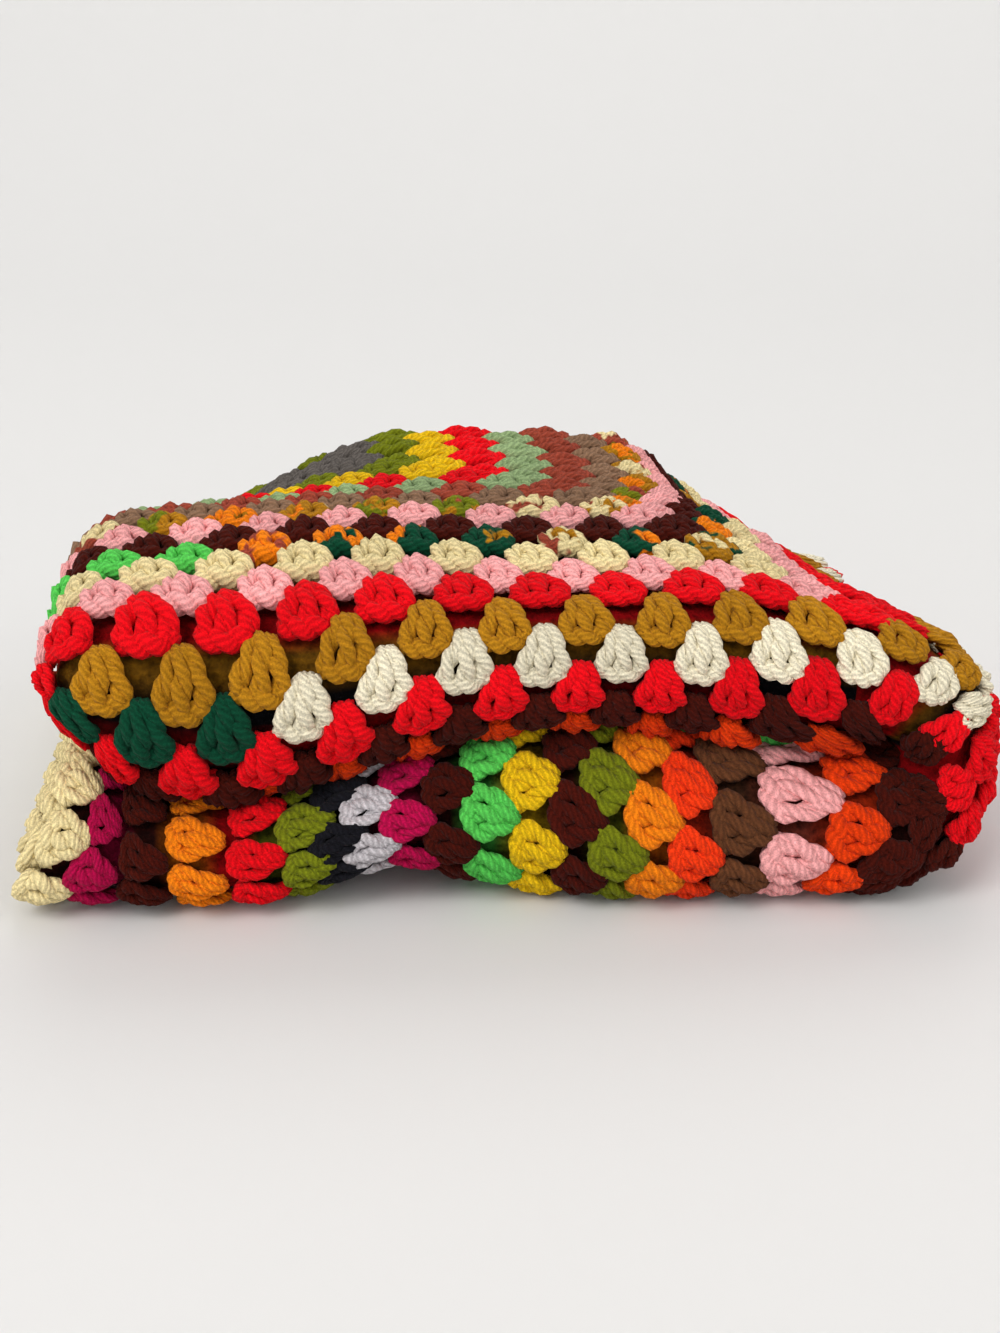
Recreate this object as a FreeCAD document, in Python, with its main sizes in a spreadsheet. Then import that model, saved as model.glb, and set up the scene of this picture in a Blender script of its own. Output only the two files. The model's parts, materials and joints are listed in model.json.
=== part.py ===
import FreeCAD, Part
import os
import Sketcher
from FreeCAD import Placement, Rotation, Vector

# A square crocheted throw, made in rounds from the centre out, each round in its own yarn.
# It is folded to twelve layers: a strip six layers thick, with its closed fold to the front,
# whose right half is turned under the left half round an end fold.
# +X runs to the end fold, +Y to the back and +Z up; the origin is under the middle.
# Rounds are numbered from the centre of the square outwards.

DIMENSIONS = {
    "cloth": 7.3,          # thickness of one crocheted layer
    "slack": 0.3,          # air between two layers
    "parting": 0.25,       # air between each half of the stack and the hinge plane
    "round_pitch": 11.0,   # width of one round on the upper half
    "lower_pitch": 12.1,   # width of one round on the lower half, which lies a little stretched
    "upper_left": -134.0,  # open left end of the upper half
    "lower_left": -142.0,  # open left end of the lower half
    "stack_back": 99.65,   # open back of the stack
    "roll_centre": -77.0,  # centre line of the front fold
    "fold_x": 96.45,       # axis of the end fold
    "roll_step": 30.0,     # angle that one round takes on the front fold
    "end_step": 36.0,      # angle that one round takes on the end fold
}
DERIVED = {
    "half_stack": "=6 * cloth + 5 * slack",
    "roll_radius": "=half_stack / 2",
    "hinge_z": "=half_stack + parting",
    "upper_base": "=hinge_z + parting",
    "upper_middle": "=upper_base + roll_radius",
    "stack_top": "=upper_base + half_stack",
    "centre_x": "=fold_x - 14 * round_pitch",
    "centre_y": "=roll_centre + 14 * round_pitch",
}

CENTRE_ROUNDS = 2
TOP_ROUNDS = {
    3: "olive", 4: "yellow", 5: "red", 6: "sage", 7: "brick", 8: "taupe", 9: "mustard_mix",
    10: "pink", 11: "dark_brown", 12: "green_mix", 13: "cream", 14: "pink",
}
ROLL_ROUNDS = {15: "red", 16: "mustard", 17: "white", 18: "red", 19: "dark_brown", 20: "orange_red"}
END_ROUNDS = {15: "red", 16: "mustard", 17: "white", 18: "red", 19: "dark_brown"}
LOWER_ROUNDS = {
    20: "orange_red", 21: "pink", 22: "brown", 23: "red_orange", 24: "orange", 25: "olive",
    26: "dark_brown", 27: "yellow", 28: "green", 29: "dark_brown", 30: "magenta", 31: "white",
    32: "black", 33: "olive", 34: "red", 35: "orange", 36: "dark_brown", 37: "magenta",
}
INNER_FOLDS = {"middle_fold": 1, "core_fold": 2}  # how many layers lie outside each

doc = FreeCAD.newDocument("FoldedThrow")
sheet = doc.addObject("Spreadsheet::Sheet", "Dims")
for line, (alias, value) in enumerate({**DIMENSIONS, **DERIVED}.items(), 1):
    sheet.set(f"A{line}", alias)
    sheet.set(f"B{line}", str(value))
    sheet.setAlias(f"B{line}", alias)
doc.recompute()

subparts = []


def plane(body, role):
    """One of a body's own origin planes."""
    return next(feature for feature in body.Origin.OriginFeatures if feature.Role == role)


def new_sketch(body, role):
    """An empty sketch on one of a body's own origin planes."""
    sketch = body.newObject("Sketcher::SketchObject", body.Name + "_sketch")
    sketch.AttachmentSupport = [(plane(body, role), "")]
    sketch.MapMode = "FlatFace"
    return sketch


def dimension(sketch, formula, kind, *where):
    """A dimension of a sketch, bound to a formula."""
    value = sketch.evalExpression(formula)
    number = sketch.addConstraint(Sketcher.Constraint(kind, *where, float(value)))
    sketch.setExpression(f"Constraints[{number}]", formula)


def outline(body, role, corners):
    """A closed outline of straight edges through corners given as pairs of formulas."""
    sketch = new_sketch(body, role)
    points = [Vector(*(float(sketch.evalExpression(part)) for part in corner)) for corner in corners]
    count = len(points)
    for here in range(count):
        sketch.addGeometry(Part.LineSegment(points[here], points[(here + 1) % count]))
    for here, (first, second) in enumerate(corners):
        sketch.addConstraint(Sketcher.Constraint("Coincident", here, 2, (here + 1) % count, 1))
        dimension(sketch, first, "DistanceX", -1, 1, here, 1)
        dimension(sketch, second, "DistanceY", -1, 1, here, 1)
    return sketch


def double_fold(body, base, outside):
    """The section of cloth folded double round the front, with some layers outside it.

    The sketch lies in the YZ plane, so its axes run to the back and up, and base is the
    formula for its height. It is open at the back, apart from the innermost fold, whose two
    layers lie against each other.
    """
    sketch = new_sketch(body, "YZ_Plane")
    depth = f"{outside} * (Dims.cloth + Dims.slack)"
    radius = float(sketch.evalExpression(f"Dims.roll_radius - {depth}"))
    hollow = float(sketch.evalExpression(f"Dims.roll_radius - {depth} - Dims.cloth"))
    middle = float(sketch.evalExpression(f"{base} + Dims.roll_radius"))
    front = float(sketch.evalExpression("Dims.roll_centre"))
    back = float(sketch.evalExpression("Dims.stack_back"))
    tight = hollow < radius / 4
    rule = Sketcher.Constraint

    def straight(y_one, rise_one, y_two, rise_two):
        sketch.addGeometry(Part.LineSegment(Vector(y_one, middle + rise_one), Vector(y_two, middle + rise_two)))

    def half_round(reach):
        circle = Part.Circle(Vector(front, middle), Vector(0, 0, 1), reach)
        sketch.addGeometry(Part.ArcOfCircle(circle, 1.5707963, 4.7123890))

    half_round(radius)
    straight(front, -radius, back, -radius)
    if tight:
        straight(back, -radius, back, radius)
    else:
        straight(back, -radius, back, -hollow)
        straight(back, -hollow, front, -hollow)
        half_round(hollow)
        straight(front, hollow, back, hollow)
        straight(back, hollow, back, radius)
    last = sketch.GeometryCount
    straight(back, radius, front, radius)
    joins = [(0, 2, 1, 1), (last, 2, 0, 1)]
    if tight:
        joins += [(1, 2, 2, 1), (2, 2, last, 1)]
    else:
        joins += [(1, 2, 2, 1), (2, 2, 3, 1), (3, 2, 4, 2), (4, 1, 5, 1), (5, 2, 6, 1), (6, 2, last, 1)]
    for join in joins:
        sketch.addConstraint(rule("Coincident", *join))
    for edge in (1, last) if tight else (1, 3, 5, last):
        sketch.addConstraint(rule("Horizontal", edge))
    for edge in (2,) if tight else (2, 6):
        sketch.addConstraint(rule("Vertical", edge))
    for end in (1, 2):
        sketch.addConstraint(rule("Vertical", 0, end, 0, 3))
    dimension(sketch, f"Dims.roll_radius - {depth}", "Radius", 0)
    dimension(sketch, "Dims.roll_centre", "DistanceX", -1, 1, 0, 3)
    dimension(sketch, f"{base} + Dims.roll_radius", "DistanceY", -1, 1, 0, 3)
    dimension(sketch, "Dims.stack_back", "DistanceX", -1, 1, 1, 2)
    if not tight:
        sketch.addConstraint(rule("Coincident", 4, 3, 0, 3))
        for end in (1, 2):
            sketch.addConstraint(rule("Vertical", 4, end, 4, 3))
        dimension(sketch, f"Dims.roll_radius - {depth} - Dims.cloth", "Radius", 4)
    return sketch


def new_body(name):
    """A body whose label names its file, listed as a sub-part."""
    body = doc.addObject("PartDesign::Body", name)
    body.Label = name
    subparts.append(body)
    return body


def padded_out(body, sketch, length):
    """The sketch pushed out along its normal by a formula."""
    pad = body.newObject("PartDesign::Pad", body.Name + "_pad")
    pad.Profile = sketch
    pad.setExpression("Length", length)


def turned_out(body, sketch, angle):
    """The sketch turned about its own horizontal axis by a formula."""
    turn = body.newObject("PartDesign::Revolution", body.Name + "_turn")
    turn.Profile = sketch
    turn.ReferenceAxis = (sketch, ["H_Axis"])
    turn.setExpression("Angle", angle)


def place(body, x="0", y="0", z="0", axis=Vector(0, 0, 1), angle="0"):
    """Puts a body where formulas say, turned about an axis through its origin."""
    body.Placement = Placement(Vector(0, 0, 0), Rotation(axis, 1))
    body.setExpression("Placement.Rotation.Angle", angle)
    for name, formula in (("x", x), ("y", y), ("z", z)):
        body.setExpression("Placement.Base." + name, formula)


def square_centre():
    """The first rounds, which lie together at the back of the top."""
    body = new_body("upper_centre_grey")
    left = f"Dims.centre_x - {CENTRE_ROUNDS} * Dims.round_pitch"
    right = f"Dims.centre_x + {CENTRE_ROUNDS} * Dims.round_pitch"
    front = f"Dims.centre_y - {CENTRE_ROUNDS} * Dims.round_pitch"
    back = "Dims.stack_back"
    sketch = outline(body, "XY_Plane", [(left, front), (right, front), (right, back), (left, back)])
    padded_out(body, sketch, "Dims.cloth")
    place(body, z="Dims.stack_top - Dims.cloth")


def top_round(number, yarn):
    """A round on the top: three sides of a square, or two once it passes the left end."""
    body = new_body(f"upper_round_{number:02d}_{yarn}")

    def at(centre, sign, count):
        return f"Dims.{centre} {sign} {count} * Dims.round_pitch"

    back = "Dims.stack_back"
    inner, outer = number - 1, number
    corners = [
        (at("centre_x", "+", outer), at("centre_y", "-", outer)), (at("centre_x", "+", outer), back),
        (at("centre_x", "+", inner), back), (at("centre_x", "+", inner), at("centre_y", "-", inner)),
    ]
    room = float(sheet.evalExpression("(Dims.centre_x - Dims.upper_left) / Dims.round_pitch"))
    if inner < room:
        left = at("centre_x", "-", outer) if outer < room else "Dims.upper_left"
        corners += [
            (at("centre_x", "-", inner), at("centre_y", "-", inner)), (at("centre_x", "-", inner), back),
            (left, back), (left, at("centre_y", "-", outer)),
        ]
    else:
        corners += [
            ("Dims.upper_left", at("centre_y", "-", inner)), ("Dims.upper_left", at("centre_y", "-", outer)),
        ]
    padded_out(body, outline(body, "XY_Plane", corners), "Dims.cloth")
    place(body, z="Dims.stack_top - Dims.cloth")


def roll_round(number, yarn):
    """A round that runs along the front fold of the upper half."""
    body = new_body(f"upper_round_{number}_{yarn}")
    ends = "Dims.upper_left", "Dims.fold_x"
    inside, outside = "Dims.roll_radius - Dims.cloth", "Dims.roll_radius"
    corners = [(ends[0], inside), (ends[1], inside), (ends[1], outside), (ends[0], outside)]
    turned_out(body, outline(body, "XZ_Plane", corners), "Dims.roll_step")
    step = number - min(ROLL_ROUNDS)
    place(body, y="Dims.roll_centre", z="Dims.upper_middle", axis=Vector(1, 0, 0),
          angle=f"{step} * Dims.roll_step")


def upper_underside():
    """The layer that rests on the lower half, with the rounds past the front fold."""
    layer = doc.addObject("Part::Box", "upper_underside")
    layer.Label = "upper_underside"
    subparts.append(layer)
    for name, formula in (
        ("Length", "Dims.fold_x - Dims.upper_left"), ("Width", "Dims.stack_back - Dims.roll_centre"),
        ("Height", "Dims.cloth"), ("Placement.Base.x", "Dims.upper_left"),
        ("Placement.Base.y", "Dims.roll_centre"), ("Placement.Base.z", "Dims.upper_base"),
    ):
        layer.setExpression(name, formula)


def straight_fold(name, base, outside, left, width):
    """Cloth folded double round the front, from a formula for its left end."""
    body = new_body(name)
    padded_out(body, double_fold(body, base, outside), width)
    place(body, x=left)


def end_fold(name, outside, start, angle):
    """Cloth folded double round the front and turned under round the end fold."""
    body = new_body(name)
    turned_out(body, double_fold(body, "Dims.parting", outside), angle)
    place(body, x="Dims.fold_x", z="Dims.hinge_z", axis=Vector(0, 1, 0), angle=start)


square_centre()
for number, yarn in TOP_ROUNDS.items():
    top_round(number, yarn)
for number, yarn in ROLL_ROUNDS.items():
    roll_round(number, yarn)
upper_underside()
for name, outside in INNER_FOLDS.items():
    straight_fold("upper_" + name, "Dims.upper_base", outside, "Dims.upper_left",
                  "Dims.fold_x - Dims.upper_left")

for number, yarn in END_ROUNDS.items():
    step = number - min(END_ROUNDS)
    end_fold(f"end_round_{number}_{yarn}", 0, f"{step} * Dims.end_step", "Dims.end_step")
for name, outside in INNER_FOLDS.items():
    end_fold("end_" + name, outside, "0", "180")

for number, yarn in LOWER_ROUNDS.items():
    done = number - min(LOWER_ROUNDS) + 1
    straight_fold(f"lower_round_{number}_{yarn}", "0", 0, f"Dims.fold_x - {done} * Dims.lower_pitch",
                  "Dims.lower_pitch")
straight_fold("lower_round_38_cream_edging", "0", 0, "Dims.lower_left",
              f"Dims.fold_x - Dims.lower_left - {len(LOWER_ROUNDS)} * Dims.lower_pitch")
for name, outside in INNER_FOLDS.items():
    straight_fold("lower_" + name, "0", outside, "Dims.lower_left", "Dims.fold_x - Dims.lower_left")

doc.recompute()
for thing in doc.Objects:
    if "Invalid" in thing.State or "Error" in thing.State:
        raise RuntimeError(f"{thing.Label} failed: {thing.State}")
for part in subparts:
    if part.Shape.isNull() or not part.Shape.isValid() or len(part.Shape.Solids) != 1:
        raise RuntimeError(f"{part.Label} is not one valid solid")

os.makedirs("parts", exist_ok=True)
for part in subparts:
    part.Shape.exportStep(os.path.join("parts", part.Label + ".step"))
print(len(subparts), "sub-parts written")
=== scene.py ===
import json
import math

import bmesh
import bpy
import numpy as np
from mathutils import Matrix, Vector


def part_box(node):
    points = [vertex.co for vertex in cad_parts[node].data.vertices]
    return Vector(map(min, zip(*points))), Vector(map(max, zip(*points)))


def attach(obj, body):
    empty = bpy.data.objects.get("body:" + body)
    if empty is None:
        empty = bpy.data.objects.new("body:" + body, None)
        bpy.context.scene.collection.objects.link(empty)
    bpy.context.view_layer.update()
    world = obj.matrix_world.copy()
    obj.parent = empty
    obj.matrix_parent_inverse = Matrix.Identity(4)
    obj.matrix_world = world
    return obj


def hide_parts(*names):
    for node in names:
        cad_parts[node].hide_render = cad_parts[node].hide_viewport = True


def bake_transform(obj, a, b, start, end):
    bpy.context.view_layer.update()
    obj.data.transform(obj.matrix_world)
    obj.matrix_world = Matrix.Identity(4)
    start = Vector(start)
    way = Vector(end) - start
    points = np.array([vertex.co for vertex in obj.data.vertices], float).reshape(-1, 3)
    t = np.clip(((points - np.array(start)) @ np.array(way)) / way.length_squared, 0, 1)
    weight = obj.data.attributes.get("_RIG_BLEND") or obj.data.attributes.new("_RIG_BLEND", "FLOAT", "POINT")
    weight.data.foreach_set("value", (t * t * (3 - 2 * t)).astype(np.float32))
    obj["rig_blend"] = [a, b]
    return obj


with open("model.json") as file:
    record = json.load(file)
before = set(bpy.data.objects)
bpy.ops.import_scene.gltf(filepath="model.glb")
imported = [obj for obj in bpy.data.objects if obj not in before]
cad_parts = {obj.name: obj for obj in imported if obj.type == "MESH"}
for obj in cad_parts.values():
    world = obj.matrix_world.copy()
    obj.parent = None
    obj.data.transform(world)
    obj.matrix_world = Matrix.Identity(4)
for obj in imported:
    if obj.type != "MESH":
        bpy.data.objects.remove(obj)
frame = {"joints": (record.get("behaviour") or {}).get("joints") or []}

bl_info = {
    "name": "Folded Crochet Throw",
    "version": (1, 0, 0),
    "blender": (4, 5, 0),
    "location": "3D View > Sidebar > Throw",
    "description": "Works the stitches of a folded crochet throw over its frame",
    "category": "Add Mesh",
}

MM = 0.001


def box_mm(node):
    """A node's lowest and highest corners, in millimetres."""
    low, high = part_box(node)
    return np.array(low) / MM, np.array(high) / MM


# The folded stack, as the frame gives it, in millimetres.
HINGE_X, _, HINGE_Z = (value / MM for value in frame["joints"][0]["pos_m"])
CENTRE_LOW, CENTRE_HIGH = box_mm("upper_centre_grey")
CLOTH = CENTRE_HIGH[2] - CENTRE_LOW[2]
TOP_Z, BACK_Y = CENTRE_HIGH[2], CENTRE_HIGH[1]
CENTRE_X = (CENTRE_LOW[0] + CENTRE_HIGH[0]) / 2
ROUND = (CENTRE_HIGH[0] - CENTRE_LOW[0]) / 4  # the centre is two rounds to each side
LAST_LOW, _ = box_mm("upper_round_14_pink")
UPPER_LEFT, ROLL_Y = LAST_LOW[0], LAST_LOW[1]
LAST_TOP = 14  # the last round on the flat of the top
CENTRE_Y = ROLL_Y + LAST_TOP * ROUND
LOWER_LEFT = box_mm("lower_round_38_cream_edging")[0][0]
COLUMN_LOW, COLUMN_HIGH = box_mm("lower_round_20_orange_red")
COLUMN = COLUMN_HIGH[0] - COLUMN_LOW[0]
HALF = COLUMN_HIGH[2] - COLUMN_LOW[2]  # thickness of half of the stack
PARTING = HINGE_Z - HALF
LAYER = box_mm("lower_middle_fold")[0][2] - COLUMN_LOW[2]  # from one layer to the next
MIDDLE = PARTING + HALF / 2  # from the hinge plane to the middle of a half
STRAIGHT = BACK_Y - ROLL_Y  # the flat run from the back to the front fold
CLUSTER = 2 * ROUND  # from one cluster of stitches to the next
LOWER_CLUSTER = 1.55 * ROUND  # the clusters of the lower half are pushed together
ROLL = HALF / 2 - CLOTH / 2  # radius of the outer layer round the front fold
GROUND_DEPTH = 2.2  # how far the ground of a layer lies below its clusters
BEND = math.pi * MIDDLE  # length of the end fold, along its middle
CAP = HALF / 2  # how far the closed left end of the upper half is rounded

TOP_ROUNDS = {
    1: "grey", 2: "grey", 3: "olive", 4: "yellow", 5: "red", 6: "sage", 7: "brick", 8: "taupe",
    9: "mustard_mix", 10: "pink", 11: "dark_brown", 12: "green_mix", 13: "cream", 14: "pink",
}
ROLL_ROUNDS = {15: "red", 16: "mustard", 17: "white", 18: "red", 19: "dark_brown", 20: "orange_red"}
LOWER_ROUNDS = {
    20: "orange_red", 21: "pink", 22: "brown", 23: "red_orange", 24: "orange", 25: "olive",
    26: "dark_brown", 27: "yellow", 28: "green", 29: "dark_brown", 30: "magenta", 31: "white",
    32: "black", 33: "olive", 34: "red", 35: "orange", 36: "dark_brown", 37: "magenta",
}
FIRST_LOWER = 20  # the first round that crosses the lower half
EDGING_ROUND = 38
END_TURNS = {15: 36, 16: 58, 17: 72, 18: 136, 19: 180}  # degrees round the end where each ends
# Where another yarn was joined in: from and to, in millimetres across, and the yarn.
JOINED = {12: (-150, -70, "green"), 16: (-150, -128, "red"), 17: (-150, -72, "dark_green")}


# ---------------------------------------------------------------- settings


def colour_setting(name, value):
    """A colour setting with a name and a default."""
    return bpy.props.FloatVectorProperty(
        name=name, description=f"Colour of the {name.lower()} yarn", default=value, size=3,
        min=0, max=1, subtype="COLOR",
    )


class ThrowYarns(bpy.types.PropertyGroup):
    """The colours of the yarns."""

    grey: colour_setting("Grey", (0.125, 0.11, 0.1))
    olive: colour_setting("Olive", (0.17, 0.2, 0.008))
    yellow: colour_setting("Yellow", (0.8, 0.5, 0.008))
    red: colour_setting("Red", (0.84, 0.004, 0.01))
    sage: colour_setting("Sage", (0.3, 0.42, 0.2))
    brick: colour_setting("Brick", (0.34, 0.06, 0.034))
    taupe: colour_setting("Taupe", (0.26, 0.15, 0.09))
    mustard_mix: colour_setting("Mustard mix", (0.4, 0.2, 0.03))
    pink: colour_setting("Pink", (0.97, 0.43, 0.43))
    dark_brown: colour_setting("Dark brown", (0.06, 0.006, 0.003))
    green_mix: colour_setting("Green mix", (0.01, 0.075, 0.02))
    cream: colour_setting("Cream", (0.86, 0.72, 0.38))
    mustard: colour_setting("Mustard", (0.46, 0.205, 0.01))
    white: colour_setting("White", (0.86, 0.79, 0.6))
    orange_red: colour_setting("Orange red", (0.82, 0.05, 0.004))
    brown: colour_setting("Brown", (0.125, 0.045, 0.018))
    red_orange: colour_setting("Red orange", (0.84, 0.042, 0.006))
    orange: colour_setting("Orange", (0.88, 0.22, 0.007))
    green: colour_setting("Green", (0.1, 0.6, 0.095))
    magenta: colour_setting("Magenta", (0.46, 0.004, 0.065))
    black: colour_setting("Black", (0.01, 0.01, 0.014))
    dark_green: colour_setting("Dark green", (0.004, 0.062, 0.03))
    pale_grey: colour_setting("Pale grey", (0.56, 0.53, 0.56))


class ThrowShape(bpy.types.PropertyGroup):
    """The sizes that shape the stitches and the slump of the stack."""

    yarn: bpy.props.FloatProperty(
        name="Yarn", description="Radius of one strand of yarn", default=0.00172, unit="LENGTH")
    crown: bpy.props.FloatProperty(
        name="Crown", description="How far the middle of the top stands up", default=0.0045, unit="LENGTH")
    left_slump: bpy.props.FloatProperty(
        name="Left slump", description="How far the top falls at its back left corner", default=0.034,
        unit="LENGTH")
    right_slump: bpy.props.FloatProperty(
        name="Right slump", description="How far the top falls at its back right corner", default=0.034,
        unit="LENGTH")
    arch: bpy.props.FloatProperty(
        name="Arch", description="How far the front of the lower half lifts off the floor", default=0.010,
        unit="LENGTH")
    skew: bpy.props.FloatProperty(
        name="Skew", description="How far the back of the stack has slid to the left", default=0.002,
        unit="LENGTH")
    fibre: bpy.props.FloatProperty(
        name="Fibre", description="Width of the fibre grain on the yarn", default=0.0005, unit="LENGTH")


def shape():
    """The shape settings of the scene."""
    return bpy.context.scene.throw_shape


# ---------------------------------------------------------------- the lie of the cloth


def ease(value):
    """A smooth step from 0 to 1."""
    value = np.clip(value, 0, 1)
    return value * value * (3 - 2 * value)


def bump_at(value, middle, width):
    """A smooth bump of height 1."""
    return np.exp(-(((value - middle) / width) ** 2))


def floor_height(x, y, forward):
    """How far the underside lifts off the table."""
    lifted = shape().arch / MM * bump_at(x, -34, 22) * ease((-10 - y) / 70)  # the arch at the front
    lifted += 1.2 * bump_at(x, -128, 26) * forward  # under the edging
    return lifted


def crease_height(x, forward):
    """The height of the crease between the halves, which the upper half weighs down in places."""
    dip = 16 * bump_at(x, -82, 46) - 4 * bump_at(x, 20, 35) + 7 * bump_at(x, 92, 28)
    return HINGE_Z - dip * forward - 9 * ease((x - 56) / 60) * (1 - forward)


def top_height(x, y):
    """The height of the top: a crown in the middle, falling towards the back corners."""
    s = shape()
    top = TOP_Z + s.crown / MM * bump_at(x, -18, 112) * bump_at(y, -16, 62)
    top -= s.left_slump / MM * ease((-18 - x) / 115) * ease((y + 18) / 112)
    right = 48 - 14 * ease((y + 10) / 60)  # where the right end starts to fall
    top -= s.right_slump / MM * ease((x - right) / 80) * (0.42 + 0.70 * ease((y + 70) / 110))
    behind = ease((y + 40) / 70)
    top += (8 * bump_at(x, 92, 24) - 5.5 * bump_at(x, 60, 40)) * behind  # its rounded shoulder
    top -= 4 * ease((x - 104) / 26) * behind
    top += 3.5 * ease((y + 80) / 24) * bump_at(x, -20, 125)
    top += 2.5 * bump_at(x, 12, 62) * ease((y - 15) / 60)  # the hump at the back
    top += 0.9 * np.sin(x / 17 + 1.3) * np.sin(y / 23 + 0.4) + 0.7 * np.sin(x / 31 - y / 19)
    return top


def slump(points):
    """Points of the tidy stack, in millimetres, moved to where the soft cloth really lies."""
    x, y, z = points.T
    forward = ease((40 - y) / 110)  # 1 at the front, 0 at the back
    floor = floor_height(x, y, forward)
    crease = crease_height(x, forward)
    low = floor + z / HINGE_Z * (crease - floor)
    high = crease + (z - HINGE_Z) / (TOP_Z - HINGE_Z) * (top_height(x, y) - crease)
    z_new = np.where(z < HINGE_Z, low, high)
    z_new = np.where(z_new < 4, 4.5 * np.exp((z_new - 4) / 4.5) - 0.5, z_new)  # flattened on the table
    slide = shape().skew / MM * np.clip((y - ROLL_Y) / STRAIGHT, -0.2, 1.1)
    x_new = x - slide + 0.9 * np.sin(y / 21 + z / 15) + 4 * ease((x - 60) / 80)
    x_new += 23 * bump_at(x, 33, 48) * ease((y + 60) / 110) * ease((z - 60) / 25)
    tucked = 13 * ease((z - 6) / 34) * (1 - ease((z - 46) / 26))  # the edging's top is tucked under
    x_new += tucked * ease((-100 - x) / 36) * (0.3 + 0.7 * forward)
    fan = ease((x - 60) / 30) * (1 - ease((x - 98) / 38)) * forward
    x_new += 11 * ease((z - 4) / 34) * (1 - ease((z - 46) / 20)) * fan
    y_new = y + 1.6 * np.sin(x / 37 + 0.8) * forward - 2.2 * forward * bump_at(x, 20, 70) + 1.2
    bulge = 0.2 + 0.8 * ease((x + 10) / 50)  # the lower half comes forward, most at the right
    y_new -= 12 * ease((56 - z) / 44) * forward * bulge
    return np.stack([x_new, y_new, z_new], 1)


def run_of(depth):
    """The length of a layer that lies this deep, from the back, round the front and back again."""
    return 2 * STRAIGHT + math.pi * (ROLL - depth)


def section(along, depth):
    """Where the cloth runs in a section across the front fold.

    along is measured through the cloth from the back of a layer's outer face, over the front fold
    and back again, and runs on round the folds at the back; depth is how far the layer lies inside
    the outer one. Gives y, the height over the middle of the half, and the outward normal's two
    parts.
    """
    reach = ROLL - depth
    turn = np.clip((along - STRAIGHT) / reach, 0, math.pi)
    after = np.maximum(along - STRAIGHT - math.pi * reach, 0)
    small = LAYER / 2
    over = np.maximum(-along, 0) + np.maximum(along - run_of(depth), 0)
    fold = np.clip(over / small, 0, math.pi)
    y = ROLL_Y + np.maximum(STRAIGHT - along, 0) - reach * np.sin(turn) + after
    y = y - over + small * np.sin(fold) - np.maximum(over - math.pi * small, 0)
    up = np.where(along < STRAIGHT, 1, -1)
    height = reach * np.cos(turn) - up * small * (1 - np.cos(fold))
    normal_y = np.where(over > 0, np.sin(fold), -np.sin(turn))
    normal_h = np.where(over > 0, up * np.cos(fold), np.cos(turn))
    return y, height, normal_y, normal_h


def raised(along, lift, depth):
    """The section's y and height, with a lift off the cloth along its normal."""
    y, height, normal_y, normal_h = section(along, depth)
    return y + lift * normal_y, height + lift * normal_h


def on_upper(across, along, lift, depth=0.0):
    """Points on the upper half, whose left end is closed and rounded."""
    y, height = raised(along, lift, depth)
    ahead = np.minimum(y - ROLL_Y, 0)
    start = UPPER_LEFT + CAP
    reach = np.hypot(ahead, height)
    turn = np.clip((start - across) / np.maximum(reach, 6), 0, math.pi / 2)
    x = np.maximum(across, start) - reach * np.sin(turn)
    y = y - ahead * (1 - np.cos(turn))
    return np.stack([x, y, HINGE_Z + MIDDLE + height * np.cos(turn)], 1)


def on_end(across, along, lift, depth=0.0):
    """Points round the end fold; across runs over the fold's middle length from the top."""
    y, height = raised(along, lift, depth)
    turn = across / BEND * math.pi
    reach = MIDDLE + height
    return np.stack([HINGE_X + reach * np.sin(turn), y, HINGE_Z + reach * np.cos(turn)], 1)


def on_lower(across, along, lift, depth=0.0):
    """Points on the lower half."""
    y, height = raised(along, lift, depth)
    return np.stack([across + 0 * y, y, HINGE_Z - MIDDLE - height], 1)


# ---------------------------------------------------------------- stitches


SIDES = 6  # of a strand
PATTERNS = 4  # of a cluster


def strand(bm, route, radius):
    """A strand of yarn along a route of points, numbered round and along for its plies."""
    around = bm.verts.layers.float.get("around") or bm.verts.layers.float.new("around")
    along = bm.verts.layers.float.get("along") or bm.verts.layers.float.new("along")
    route = [Vector(point) for point in route]
    places = []
    for here, point in enumerate(route):
        ahead = route[min(here + 1, len(route) - 1)] - route[max(here - 1, 0)]
        turn = ahead.to_track_quat("Z", "Y").to_matrix().to_4x4()
        size = radius * (0.7 if here in (0, len(route) - 1) else 1)
        places.append(Matrix.Translation(point) @ turn @ Matrix.Scale(size, 4))
    ring = bmesh.ops.create_circle(bm, segments=SIDES, radius=1, cap_ends=False)["verts"]
    for number, vert in enumerate(ring):
        vert[around] = number
    bmesh.ops.transform(bm, matrix=places[0], verts=ring)
    edges = list({edge for vert in ring for edge in vert.link_edges})
    bmesh.ops.edgeloop_fill(bm, edges=edges)
    length = 0.0
    for number in range(1, len(route)):
        length += (route[number] - route[number - 1]).length
        made = bmesh.ops.extrude_edge_only(bm, edges=edges)["geom"]
        ring = [item for item in made if isinstance(item, bmesh.types.BMVert)]
        edges = [item for item in made if isinstance(item, bmesh.types.BMEdge)]
        bmesh.ops.transform(bm, matrix=places[number] @ places[number - 1].inverted(), verts=ring)
        for vert in ring:
            vert[along] = length
    bmesh.ops.edgeloop_fill(bm, edges=edges)


def lay_plies(bm):
    """The yarn's own map: once round it from 0 to 1, and its length in centimetres."""
    around = bm.verts.layers.float["around"]
    along = bm.verts.layers.float["along"]
    plies = bm.loops.layers.uv.new("plies")
    for face in bm.faces:
        wraps = max(vert[around] for vert in face.verts) > SIDES / 2 + 1
        for loop in face.loops:
            place = loop.vert[around]
            if wraps and place < 1:
                place = SIDES
            loop[plies].uv = (place / SIDES, loop.vert[along] / 10)


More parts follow.
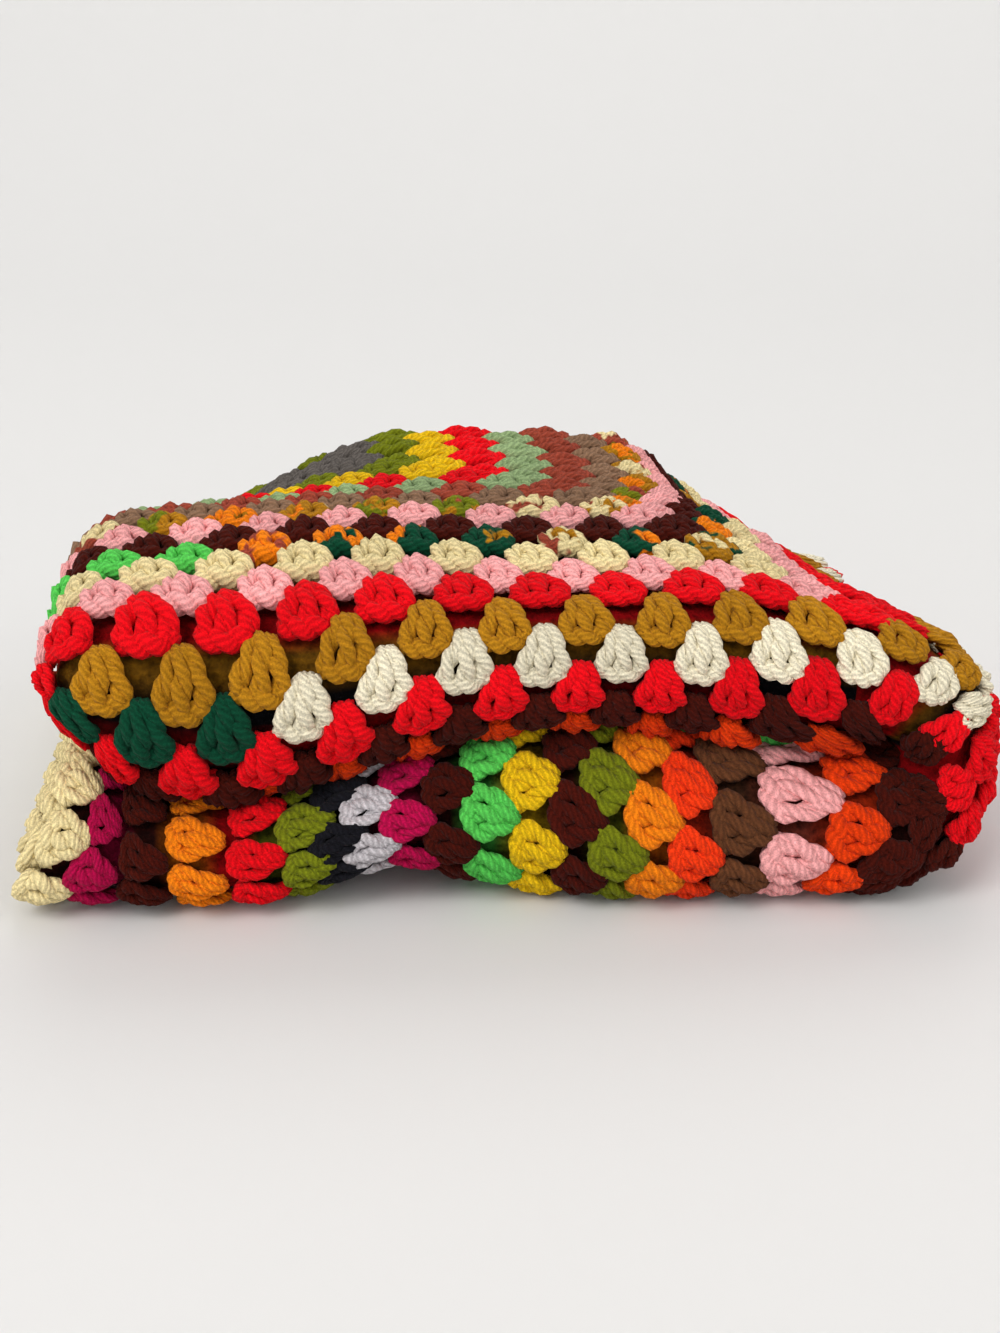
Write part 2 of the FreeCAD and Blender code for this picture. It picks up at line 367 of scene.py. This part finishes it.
def cluster_mesh(name, seed):
    """Three tall stitches that fan from one hole, with the chained edge along their tops.

    In millimetres: x runs along the round, y the way the work grows and z out of the cloth.
    """
    rng = np.random.default_rng(seed)
    yarn = shape().yarn / MM
    foot, height = -4.0, 12.9  # where a tall stitch starts, and how tall it is
    bm = bmesh.new()
    for side in (-1, 0, 1):
        lean = rng.uniform(-0.3, 0.3)
        start = rng.uniform(0, math.pi)
        for ply in (0, 1):
            route = []
            for step in range(9):
                part = step / 8
                phase = start + math.pi * (2.3 * part + ply)
                spread = side * (1.5 + 3.75 * ease(part * 1.15)) + lean * part
                girth = 0.7 + 0.62 * math.sin(math.pi * part * 0.78) ** 0.7
                rise = 0.1 + (3.5 - 0.9 * abs(side)) * math.sin(math.pi * (0.08 + 0.74 * part))
                route.append((spread + girth * math.cos(phase), foot + height * part,
                              rise + 0.8 * girth * math.sin(phase)))
            strand(bm, route, yarn)
    start = rng.uniform(0, math.pi)
    for ply in (0, 1):
        route = []
        for step in range(13):
            part = step / 6 - 1
            phase = start + math.pi * (1.45 * part + ply)
            droop = 1 - part * part
            route.append((7.1 * part, 7.5 + 2.0 * droop + 1.0 * math.cos(phase),
                          0.4 + 1.7 * droop + 0.9 * math.sin(phase)))
        strand(bm, route, yarn * 1.05)
    lay_plies(bm)
    bmesh.ops.recalc_face_normals(bm, faces=bm.faces)
    mesh = bpy.data.meshes.new(name)
    bm.to_mesh(mesh)
    bm.free()
    return mesh


def vertices_of(mesh):
    """A mesh's points as an array."""
    points = np.empty(len(mesh.vertices) * 3)
    mesh.vertices.foreach_get("co", points)
    return points.reshape(-1, 3)


class Stitches:
    """The patterns of a cluster, made once and worked over every round."""

    patterns = []

    @classmethod
    def ready(cls):
        if not cls.patterns:
            cls.patterns = [cluster_mesh(f"cluster_pattern_{seed}", seed) for seed in range(PATTERNS)]
        return cls.patterns


def worked(name, spots, yarn):
    """A piece made of clusters.

    Each spot is (place, across, along, turned, wide, tall, depth): place is one of the on_
    functions; across and along say where the cluster's hole is; turned is "row" where the round
    runs across and "column" where it runs along, and "row_back" and "column_left" grow the other
    way; wide and tall stretch the cluster; depth is that of its layer.
    """
    patterns = Stitches.ready()
    rng = np.random.default_rng(sum(ord(letter) * (place + 1) for place, letter in enumerate(name)))
    bm = bmesh.new()
    points, tones = [], []
    for place, across, along, turned, wide, tall, depth in spots:
        pattern = patterns[rng.integers(len(patterns))]
        bm.from_mesh(pattern)
        side, grow, lift = vertices_of(pattern).T
        spin = rng.normal(0, 0.045)
        wide *= rng.uniform(0.96, 1.05)
        tall *= rng.uniform(0.95, 1.06)
        turned_side = side * math.cos(spin) - grow * math.sin(spin)
        turned_grow = side * math.sin(spin) + grow * math.cos(spin)
        side = turned_side * wide + rng.normal(0, 0.35)
        grow = turned_grow * tall + rng.normal(0, 0.3)
        lift = lift * rng.uniform(0.92, 1.08)
        if turned == "row":
            there = place(across - side, along + grow, lift, depth)
        elif turned == "row_back":
            there = place(across + side, along - grow, lift, depth)
        elif turned == "column":
            there = place(across + grow, along + side, lift, depth)
        else:
            there = place(across - grow, along - side, lift, depth)
        points.append(there)
        tones.append(np.full(len(there), rng.uniform(0, 1)))
    mesh = bpy.data.meshes.new(name)
    bm.to_mesh(mesh)
    bm.free()
    mesh.vertices.foreach_set("co", (slump(np.concatenate(points)) * MM).astype(np.float32).ravel())
    tone = mesh.attributes.new("tone", "FLOAT", "POINT")
    tone.data.foreach_set("value", np.concatenate(tones).astype(np.float32))
    mesh.polygons.foreach_set("use_smooth", np.ones(len(mesh.polygons), bool))
    mesh.update()
    piece = bpy.data.objects.new(name, mesh)
    bpy.context.scene.collection.objects.link(piece)
    mesh.materials.append(yarn)
    return piece


# ---------------------------------------------------------------- yarn finishes

PLIES = 5
PLY_PITCH = 0.17  # from ridge to ridge along the strand, in centimetres
MIXES = {
    "mustard_mix": ("mustard", "olive", "brick", "cream", "mustard", "orange"),
    "green_mix": ("dark_green", "orange", "brick", "cream", "mustard", "dark_green"),
}


def link(tree, source, target):
    """Joins two sockets, each given as a node and a socket's name or number."""
    tree.links.new(source[0].outputs[source[1]], target[0].inputs[target[1]])


def scaled_range(tree, source, low, high, start=0.0, stop=1.0):
    """Turns a 0 to 1 value into one from low to high."""
    spread = tree.nodes.new("ShaderNodeMapRange")
    spread.inputs["From Min"].default_value = start
    spread.inputs["From Max"].default_value = stop
    spread.inputs["To Min"].default_value = low
    spread.inputs["To Max"].default_value = high
    link(tree, source, (spread, "Value"))
    return spread, 0


def sum_up(tree, operation, first, second=None, value=0.0):
    """One sum on one or two values."""
    made = tree.nodes.new("ShaderNodeMath")
    made.operation = operation
    link(tree, first, (made, 0))
    if second is None:
        made.inputs[1].default_value = value
    else:
        link(tree, second, (made, 1))
    return made, 0


def ply_ridges(tree):
    """The ridges of the plies, which wind round each strand: 1 on a ridge, 0 in a groove."""
    lie = tree.nodes.new("ShaderNodeUVMap")
    lie.uv_map = "plies"
    parts = tree.nodes.new("ShaderNodeSeparateXYZ")
    link(tree, (lie, "UV"), (parts, 0))
    turns = sum_up(tree, "MULTIPLY", (parts, "X"), value=PLIES * 2 * math.pi)
    length = sum_up(tree, "MULTIPLY", (parts, "Y"), value=2 * math.pi / PLY_PITCH)
    wave = sum_up(tree, "COSINE", sum_up(tree, "ADD", turns, length))
    return scaled_range(tree, wave, 0, 1, -1, 1)


def yarn_finish(name):
    """Fuzzy plied yarn: painted shade between its plies, a fine fibre grain and a soft bloom of fluff."""
    made = bpy.data.materials.get("yarn_" + name)
    if made:
        return made
    made = bpy.data.materials.new("yarn_" + name)
    made.use_nodes = True
    tree = made.node_tree
    nodes = tree.nodes
    shader = nodes["Principled BSDF"]
    yarns = bpy.context.scene.throw_yarns
    colour = tuple(getattr(yarns, name))
    coords = nodes.new("ShaderNodeTexCoord")
    tone = nodes.new("ShaderNodeAttribute")
    tone.attribute_name = "tone"
    blotch = nodes.new("ShaderNodeTexNoise")
    blotch.inputs["Scale"].default_value = 90
    blotch.inputs["Detail"].default_value = 2
    link(tree, (coords, "Object"), (blotch, "Vector"))
    fibre = nodes.new("ShaderNodeTexNoise")
    fibre.inputs["Scale"].default_value = 1 / shape().fibre
    fibre.inputs["Detail"].default_value = 3
    link(tree, (coords, "Object"), (fibre, "Vector"))
    ridges = ply_ridges(tree)

    if name in MIXES:
        ramp = nodes.new("ShaderNodeValToRGB")
        mixes = MIXES[name]
        while len(ramp.color_ramp.elements) < 2 * len(mixes):
            ramp.color_ramp.elements.new(0.5)
        for number, mix in enumerate(mixes):
            for edge in (0, 1):
                element = ramp.color_ramp.elements[2 * number + edge]
                element.position = (number + 0.08 + 0.84 * edge) / len(mixes)
                element.color = (*getattr(yarns, mix), 1)
        spread = sum_up(tree, "MULTIPLY", (blotch, "Fac"), value=0.9)
        wrapped = sum_up(tree, "FRACT", sum_up(tree, "ADD", spread, (tone, "Fac")))
        link(tree, wrapped, (ramp, "Fac"))
        base = (ramp, "Color")
    else:
        plain = nodes.new("ShaderNodeRGB")
        plain.outputs[0].default_value = (*colour, 1)
        base = (plain, 0)

    dyed = scaled_range(tree, (tone, "Fac"), 0.88, 1.08)
    # painted shade: the base colour is darkened to 0.74 in the grooves between the plies
    painted_groove_shade = scaled_range(tree, ridges, 0.74, 1.06)
    grain = scaled_range(tree, (fibre, "Fac"), 0.70, 1.16, 0.3, 0.7)
    # random tone and fibre grain, times the painted shade in the ply grooves
    tone_grain_and_painted_shade = sum_up(tree, "MULTIPLY", sum_up(tree, "MULTIPLY", dyed, painted_groove_shade), grain)
    tinted = nodes.new("ShaderNodeVectorMath")
    tinted.operation = "SCALE"
    link(tree, base, (tinted, 0))
    link(tree, tone_grain_and_painted_shade, (tinted, "Scale"))
    link(tree, (tinted, 0), (shader, "Base Color"))
    plied = nodes.new("ShaderNodeBump")
    plied.inputs["Strength"].default_value = 0.75
    plied.inputs["Distance"].default_value = 0.0003
    link(tree, ridges, (plied, "Height"))
    fluffed = nodes.new("ShaderNodeBump")
    fluffed.inputs["Strength"].default_value = 0.7
    fluffed.inputs["Distance"].default_value = 0.0005
    link(tree, (fibre, "Fac"), (fluffed, "Height"))
    link(tree, (plied, 0), (fluffed, "Normal"))
    link(tree, (fluffed, 0), (shader, "Normal"))
    shader.inputs["Roughness"].default_value = 0.95
    shader.inputs["Specular IOR Level"].default_value = 0.05
    shader.inputs["Sheen Weight"].default_value = 0.1
    shader.inputs["Sheen Roughness"].default_value = 0.5
    shader.inputs["Sheen Tint"].default_value = (*(0.25 + 0.75 * part for part in colour), 1)
    return made


def ground_finish():
    """The layers beneath, painted dark as painted shade between the clusters, in bands of the rounds'
    colours.
    """
    made = bpy.data.materials.get("shadowed_cloth")
    if made:
        return made
    made = bpy.data.materials.new("shadowed_cloth")
    made.use_nodes = True
    tree = made.node_tree
    nodes = tree.nodes
    shader = nodes["Principled BSDF"]
    coords = nodes.new("ShaderNodeTexCoord")
    fluff = nodes.new("ShaderNodeTexNoise")
    fluff.inputs["Scale"].default_value = 420
    link(tree, (coords, "Object"), (fluff, "Vector"))
    band = nodes.new("ShaderNodeAttribute")
    band.attribute_name = "band"
    # painted shade: the rounds' colours are darkened to 0.12 to 0.34 of themselves, varied by the fluff
    # noise
    painted_shade_bands = nodes.new("ShaderNodeVectorMath")
    painted_shade_bands.operation = "SCALE"
    link(tree, (band, "Color"), (painted_shade_bands, 0))
    link(tree, scaled_range(tree, (fluff, "Fac"), 0.12, 0.34, 0.3, 0.7), (painted_shade_bands, "Scale"))
    link(tree, (painted_shade_bands, 0), (shader, "Base Color"))
    bump = nodes.new("ShaderNodeBump")
    bump.inputs["Distance"].default_value = 0.0015
    link(tree, (fluff, "Fac"), (bump, "Height"))
    link(tree, (bump, 0), (shader, "Normal"))
    shader.inputs["Roughness"].default_value = 0.95
    shader.inputs["Specular IOR Level"].default_value = 0.1
    return made


# ---------------------------------------------------------------- where the clusters lie


def round_positions(number):
    """Where a round's clusters lie along one side of the square, from its middle."""
    return [(place - (number - 1) / 2) * CLUSTER for place in range(number)]


def along_of(out):
    """The place along the section that lies this far out from the centre of the square."""
    return out + BACK_Y - CENTRE_Y


def roll_back(across):
    """How far the front fold has rolled back towards the right end."""
    return 6 * float(ease((across - 40) / 60))


def upper_spots(number):
    """The clusters of a round that show on the top and front fold of the upper half."""
    spots = []
    out = (number - 0.95) * ROUND
    along = along_of(out)
    rolled = number > LAST_TOP
    if rolled:
        along = STRAIGHT + (number - 15) / 6 * math.pi * ROLL - 0.5
    for place in round_positions(number + (2 if rolled else 0)):
        across = CENTRE_X + place
        if across < UPPER_LEFT - 9 or across > HINGE_X - 3:
            continue
        left = ease((-15 - across) / 80)  # the left end has rolled a little further over
        further = left * min(10, 2.5 * max(0, number - 12))
        further -= roll_back(across) if rolled else 0
        squeeze = {15: -0.04, 16: 0.07}.get(number, 0.15) if rolled else 0
        wide = 1 + 0.12 * left + (0.1 if number == 15 else 0)
        tucked = 1.8 if number == 15 else 0  # drawn up under the round above
        spots.append((on_upper, across, along + further - tucked, "row", wide, 1 - squeeze * left, 0))
        if number < 4:
            spots.append((on_upper, across, along_of(-out), "row_back", 1, 1, 0))
    if rolled:
        return spots
    for place in round_positions(number):
        along = along_of(place)
        if along < -14:
            continue
        spots.append((on_upper, CENTRE_X + out, along, "column", 1, 1, 0))
        if CENTRE_X - out > UPPER_LEFT - 6:
            spots.append((on_upper, CENTRE_X - out, along, "column_left", 1, 1, 0))
    return spots


def underside_spots(number):
    """The clusters of a later round that runs along the underside of the upper half."""
    first = STRAIGHT + math.pi * ROLL
    pitch = (run_of(0) - first) / (EDGING_ROUND - FIRST_LOWER)
    along = first + (number - (FIRST_LOWER + 0.95)) * pitch
    spots = []
    for place in round_positions(number):
        across = CENTRE_X + place
        if UPPER_LEFT - 6 < across < HINGE_X - 4:
            spots.append((on_upper, across, along, "row", 1, pitch / ROUND, 0))
    return spots


def inner_row_spots(place, low, high, along, turned, depth):
    """A row of clusters along the back edge of a layer inside the stack."""
    count = round((high - low) / CLUSTER)
    return [(place, low + (number + 0.5) * (high - low) / count, along, turned, 1.05, 0.75, depth)
            for number in range(count)]


def end_spots(number):
    """The clusters of a round that turns under at the end fold."""
    spots = []
    start = END_TURNS.get(number - 1, 0) / 180 * BEND
    stop = END_TURNS[number] / 180 * BEND
    row_turn = (number - 15) / 6 * math.pi
    along = -CLUSTER / 2
    while along < STRAIGHT + ROLL * row_turn - 8:
        turn = max(0, (along - STRAIGHT) / ROLL)
        stretch = (MIDDLE + ROLL * math.cos(turn)) / MIDDLE  # the outside of the fold is longer
        rows = max(1, round((stop - start) * stretch / ROUND))
        width = (stop - start) / rows
        for row in range(rows):
            offset = CLUSTER / 2 * ((number + row) % 2)
            spots.append((on_end, start + (row + 0.05) * width, along + offset, "column", 1,
                          width / ROUND, 0))
        along += CLUSTER if along < STRAIGHT - CLUSTER else LOWER_CLUSTER
    stretch = (MIDDLE + ROLL - LAYER) / MIDDLE
    rows = max(1, round((stop - start) * stretch / ROUND))
    for row in range(rows):
        across = start + (row + 0.05) * (stop - start) / rows
        tall = (stop - start) / rows / ROUND
        spots.append((on_end, across, run_of(LAYER) + 6, "column", 1, tall, LAYER))
    along = STRAIGHT + ROLL * row_turn - 0.5 - roll_back(HINGE_X)
    stretch = (MIDDLE + ROLL * math.cos((along - STRAIGHT) / ROLL)) / MIDDLE
    across = CLUSTER / stretch / 2 * ((number + 1) % 2)
    while across < stop - 4:
        spots.append((on_end, across, along, "row", 1 / stretch, 1, 0))
        across += CLUSTER / stretch
    if number == FIRST_LOWER - 1:
        spots += [(on_lower, HINGE_X + 9, place, "column_left", 0.98, 1, 0)
                  for place in np.arange(STRAIGHT - 8, run_of(0) - STRAIGHT + 8, LOWER_CLUSTER)]
    return spots


def lower_spots(number):
    """The clusters of a round that crosses the lower half."""
    across = HINGE_X - (number - FIRST_LOWER) * COLUMN - 0.1 * COLUMN
    across += 8 * bump_at(across, -64, 20) - 8 * bump_at(across, -120, 26) - 4 * bump_at(across, 62, 30)
    along = -10 + LOWER_CLUSTER / 2 * (number % 2)  # neighbouring rounds sit between each other
    spots = []
    while along < run_of(0) - 4:
        spots.append((on_lower, across, along, "column_left", 0.98, COLUMN / ROUND * 0.92, 0))
        along += LOWER_CLUSTER
    spots.append((on_lower, across, run_of(LAYER) + 3 + 6 * (number % 2), "column_left", 1.1, 1, LAYER))
    return spots


def inner_edging_spots():
    """The cream edging of the layers inside the lower half, at its left end."""
    across = lower_spots(EDGING_ROUND)[0][1]
    spots = []
    for layer in (1, 2):
        along = 4 * layer
        while along < run_of(layer * LAYER) - 4:
            spots.append((on_lower, across - 1.5 * layer, along, "column_left", 1.12, 1, layer * LAYER))
            along += LOWER_CLUSTER
    return spots


def spiral():
    """The cloth's route through a section of one half, as places along and depths: three times
    round the front fold, one layer inside the other, with a fold at the back between them."""
    small = math.pi * LAYER / 2
    route = []
    for layer in range(3):
        depth = GROUND_DEPTH + layer * LAYER
        whole = run_of(depth)
        flat = np.linspace(0, STRAIGHT, 16)
        steps = [flat, np.linspace(STRAIGHT, whole - STRAIGHT, 12)[1:-1], whole - STRAIGHT + flat]
        steps = list(np.concatenate(steps))
        if layer == 0:
            steps = list(-small * np.linspace(1, 0, 6)[1:-1]) + steps
            steps.reverse()
        if layer == 1:
            steps += list(whole + small * np.linspace(0, 1, 6)[1:-1])
        if layer == 2:
            steps.reverse()
        route += [(step, depth) for step in steps]
    return np.array(route)


def band_colour(name, across, along, depth):
    """The colour of the round that a place on the ground cloth belongs to."""
    if depth > LAYER:
        number = FIRST_LOWER + 1 + int((along + depth + 40) / ROUND) % 17
    elif name == "lower":
        number = FIRST_LOWER + max(0, int((HINGE_X - across) / COLUMN))
    elif name == "end":
        number = min([turn for turn in END_TURNS if END_TURNS[turn] / 180 * BEND >= across - 1e-6])
    elif along > STRAIGHT:
        number = LAST_TOP + 1 + int((along - STRAIGHT) / (math.pi * ROLL) * 6)
    else:
        number = 1 + int(max(abs(across - CENTRE_X), abs(along - along_of(0))) / ROUND)
    yarn = {**LOWER_ROUNDS, **TOP_ROUNDS, **ROLL_ROUNDS}.get(number, "dark_brown")
    yarn = {"white": "black", "pink": "brick"}.get(yarn, yarn)  # pale yarns show little in shadow
    return (*getattr(bpy.context.scene.throw_yarns, MIXES.get(yarn, (yarn,))[0]), 1)


# ---------------------------------------------------------------- operators


def finish_piece(piece, body, slot, *nodes):
    """Names the body a piece rides on and hides the nodes it stands for; slot, its finish, is not used."""
    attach(piece, body)
    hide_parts(*nodes)


class THROW_OT_upper_rounds(bpy.types.Operator):
    """Work the rounds over the upper half"""

    bl_idname = "throw.upper_rounds"
    bl_label = "Upper Rounds"

    def execute(self, context):
        centre = upper_spots(1) + upper_spots(2)
        piece = worked("upper_centre_stitches", centre, yarn_finish("grey"))
        finish_piece(piece, "upper_half", "grey", "upper_centre_grey")
        for number, name in {**TOP_ROUNDS, **ROLL_ROUNDS}.items():
            if number < 3:
                continue
            spots = upper_spots(number)
            node = f"upper_round_{number:02d}_{name}"
            if number in JOINED:
                left, right, other = JOINED[number]
                swapped = [s for s in spots if left < s[1] < right and s[3] == "row"]
                spots = [s for s in spots if s not in swapped]
                piece = worked(f"upper_round_{number}_{other}_stitches", swapped, yarn_finish(other))
                finish_piece(piece, "upper_half", name, node)
            piece = worked(node + "_stitches", spots, yarn_finish(name))
            finish_piece(piece, "upper_half", name, node)
        for number in range(FIRST_LOWER + 1, EDGING_ROUND + 1):
            name = LOWER_ROUNDS.get(number, "cream")
            yarn = "green" if number == FIRST_LOWER + 1 else name
            spots = underside_spots(number)
            piece = worked(f"underside_round_{number}_{yarn}_stitches", spots, yarn_finish(yarn))
            finish_piece(piece, "upper_half", name, "upper_underside")
        low, high = UPPER_LEFT + 8, HINGE_X
        spots = inner_row_spots(on_upper, low, high, run_of(LAYER) + 2, "row", LAYER)
        piece = worked("upper_inner_fold_stitches", spots, yarn_finish("orange"))
        finish_piece(piece, "upper_half", "orange", "upper_middle_fold")
        spots = inner_row_spots(on_upper, low, high, 9, "row_back", 2 * LAYER)
        piece = worked("upper_inner_edging_stitches", spots, yarn_finish("cream"))
        finish_piece(piece, "upper_half", "cream", "upper_core_fold")
        return {"FINISHED"}


class THROW_OT_end_rounds(bpy.types.Operator):
    """Work the rounds that turn under at the end fold"""

    bl_idname = "throw.end_rounds"
    bl_label = "End Rounds"

    def execute(self, context):
        for number in END_TURNS:
            name = ROLL_ROUNDS[number]
            node = f"end_round_{number}_{name}"
            piece = worked(node + "_stitches", end_spots(number), yarn_finish(name))
            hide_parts(node)
            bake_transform(piece, "lower_half", "upper_half", (0, 0, 0.012), (0, 0, 0.079))
        return {"FINISHED"}


class THROW_OT_lower_rounds(bpy.types.Operator):
    """Work the rounds that cross the lower half, and the cream edging"""

    bl_idname = "throw.lower_rounds"
    bl_label = "Lower Rounds"

    def execute(self, context):
        for number, name in LOWER_ROUNDS.items():
            node = f"lower_round_{number}_{name}"
            yarn = "pale_grey" if number == 31 else name
            piece = worked(node + "_stitches", lower_spots(number), yarn_finish(yarn))
            finish_piece(piece, "lower_half", name, node)
        piece = worked("cream_edging_stitches", lower_spots(EDGING_ROUND), yarn_finish("cream"))
        finish_piece(piece, "lower_half", "cream", "lower_round_38_cream_edging")
        spots = inner_row_spots(on_lower, LOWER_LEFT + 12, HINGE_X, 9, "row_back", 2 * LAYER)
        piece = worked("lower_inner_edging_stitches", spots + inner_edging_spots(), yarn_finish("cream"))
        finish_piece(piece, "lower_half", "cream", "lower_core_fold")
        return {"FINISHED"}


class THROW_OT_ground(bpy.types.Operator):
    """Lay the folded cloth that the clusters stand on"""

    bl_idname = "throw.ground"
    bl_label = "Ground Cloth"

    def execute(self, context):
        route = spiral()
        parts = (
            ("upper", on_upper, np.linspace(UPPER_LEFT - 15, HINGE_X, 48)),
            ("end", on_end, np.linspace(0, BEND, 16)),
            ("lower", on_lower, np.linspace(HINGE_X, LOWER_LEFT + 5, 40)),
        )
        for name, place, places in parts:
            bm = bmesh.new()
            bmesh.ops.create_grid(bm, x_segments=len(places) - 1, y_segments=len(route) - 1, size=1)
            points = np.array([vert.co for vert in bm.verts])
            column = np.rint((points[:, 0] + 1) / 2 * (len(places) - 1)).astype(int)
            row = np.rint((points[:, 1] + 1) / 2 * (len(route) - 1)).astype(int)
            along, depth = route[row].T
            placed = place(places[column], along, 0.0, depth)
            for vert, point in zip(bm.verts, slump(placed) * MM):
                vert.co = point
            mesh = bpy.data.meshes.new(name + "_ground_cloth")
            bm.to_mesh(mesh)
            bm.free()
            piece = bpy.data.objects.new(name + "_ground_cloth", mesh)
            context.scene.collection.objects.link(piece)
            mesh.materials.append(ground_finish())
            bands = [band_colour(name, *spot) for spot in zip(places[column], along, depth)]
            mesh.color_attributes.new("band", "FLOAT_COLOR", "POINT")
            mesh.color_attributes["band"].data.foreach_set("color", np.ravel(bands).astype(np.float32))
            mesh.polygons.foreach_set("use_smooth", np.ones(len(mesh.polygons), bool))
            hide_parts(name + "_middle_fold", name + "_core_fold")
            if name == "end":
                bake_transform(piece, "lower_half", "upper_half", (0, 0, 0.012), (0, 0, 0.079))
            else:
                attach(piece, name + "_half")
        return {"FINISHED"}


FLOOR = 1.2  # radius of the flat floor, in metres
SWEEP = 2.4  # radius of its curve up into the backdrop, in metres
SWEEP_STEPS = 16


class THROW_OT_stage(bpy.types.Operator):
    """Set up the floor, the lights and the camera"""

    bl_idname = "throw.stage"
    bl_label = "Stage"

    def execute(self, context):
        bm = bmesh.new()
        ring = bmesh.ops.create_circle(bm, cap_ends=True, segments=96, radius=FLOOR)["verts"]
        edges = list({edge for vert in ring for edge in vert.link_edges})
        step_turn = math.pi / 2 / SWEEP_STEPS
        for step in range(1, SWEEP_STEPS + 1):  # the floor curves up into the backdrop all round
            made = bmesh.ops.extrude_edge_only(bm, edges=edges)["geom"]
            ring = [item for item in made if isinstance(item, bmesh.types.BMVert)]
            edges = [item for item in made if isinstance(item, bmesh.types.BMEdge)]
            turn = step / SWEEP_STEPS * math.pi / 2
            reach = FLOOR + SWEEP * math.sin(turn)
            before = FLOOR + SWEEP * math.sin(turn - step_turn)
            rise = SWEEP * (math.cos(turn - step_turn) - math.cos(turn))
            bmesh.ops.scale(bm, vec=(reach / before, reach / before, 1), verts=ring)
            bmesh.ops.translate(bm, vec=(0, 0, rise), verts=ring)
        bmesh.ops.recalc_face_normals(bm, faces=bm.faces)
        if sum(face.normal.z for face in bm.faces) < 0:
            bmesh.ops.reverse_faces(bm, faces=bm.faces)
        mesh = bpy.data.meshes.new("floor")
        bm.to_mesh(mesh)
        bm.free()
        mesh.polygons.foreach_set("use_smooth", np.ones(len(mesh.polygons), bool))
        floor = bpy.data.objects.new("floor", mesh)
        context.scene.collection.objects.link(floor)
        pale = bpy.data.materials.new("pale_floor")
        pale.use_nodes = True
        shader = pale.node_tree.nodes["Principled BSDF"]
        shader.inputs["Base Color"].default_value = (0.68, 0.68, 0.68, 1)
        shader.inputs["Roughness"].default_value = 0.9
        mesh.materials.append(pale)
        lights = (  # name, place, size in metres, watts
            ("key_light", (-1.8, -2.1, 2.9), 1.9, 88),
            ("fill_light", (2.2, -2.1, 1.8), 2.0, 26),
            ("back_light", (0.4, 2.3, 2.9), 2.2, 34),
        )
        for name, place, size, power in lights:
            data = bpy.data.lights.new(name, "AREA")
            data.size = size
            data.energy = power
            data.color = (1.0, 0.98, 0.95)
            lamp = bpy.data.objects.new(name, data)
            lamp.location = place
            aim = Vector((0, 0, 0.04)) - Vector(place)
            lamp.rotation_euler = aim.to_track_quat("-Z", "Y").to_euler()
            context.scene.collection.objects.link(lamp)
        world = bpy.data.worlds.new("studio")
        world.use_nodes = True
        world.node_tree.nodes["Background"].inputs["Color"].default_value = (1.0, 0.99, 0.98, 1)
        world.node_tree.nodes["Background"].inputs["Strength"].default_value = 0.55
        context.scene.world = world
        context.scene.view_settings.view_transform = "Standard"  # keeps the yarns' own colours
        data = bpy.data.cameras.new("camera")
        data.lens = 45
        camera = bpy.data.objects.new("camera", data)
        camera.location = (-0.037, -0.525, 0.235)
        camera.rotation_euler = (math.radians(90 - 20.5), 0, math.radians(-4.5))
        context.scene.collection.objects.link(camera)
        context.scene.camera = camera
        return {"FINISHED"}


class THROW_PT_panel(bpy.types.Panel):
    """The steps, in the order that they are worked"""

    bl_label = "Folded Throw"
    bl_idname = "THROW_PT_panel"
    bl_space_type = "VIEW_3D"
    bl_region_type = "UI"
    bl_category = "Throw"

    def draw(self, context):
        for step in STEPS:
            self.layout.operator(step.bl_idname)
        for name in ThrowShape.__annotations__:
            self.layout.prop(context.scene.throw_shape, name)
        for name in ThrowYarns.__annotations__:
            self.layout.prop(context.scene.throw_yarns, name)


STEPS = (THROW_OT_stage, THROW_OT_ground, THROW_OT_upper_rounds, THROW_OT_end_rounds,
         THROW_OT_lower_rounds)
CLASSES = (ThrowYarns, ThrowShape, *STEPS, THROW_PT_panel)


def register():
    for made in CLASSES:
        bpy.utils.register_class(made)
    bpy.types.Scene.throw_yarns = bpy.props.PointerProperty(type=ThrowYarns)
    bpy.types.Scene.throw_shape = bpy.props.PointerProperty(type=ThrowShape)


def unregister():
    del bpy.types.Scene.throw_shape
    del bpy.types.Scene.throw_yarns
    for made in reversed(CLASSES):
        bpy.utils.unregister_class(made)


def main():
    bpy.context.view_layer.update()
    register()
    bpy.ops.throw.stage()
    bpy.ops.throw.ground()
    bpy.ops.throw.upper_rounds()
    bpy.ops.throw.end_rounds()
    bpy.ops.throw.lower_rounds()
    for pattern in Stitches.patterns:
        bpy.data.meshes.remove(pattern)


if __name__ == "__main__":
    main()
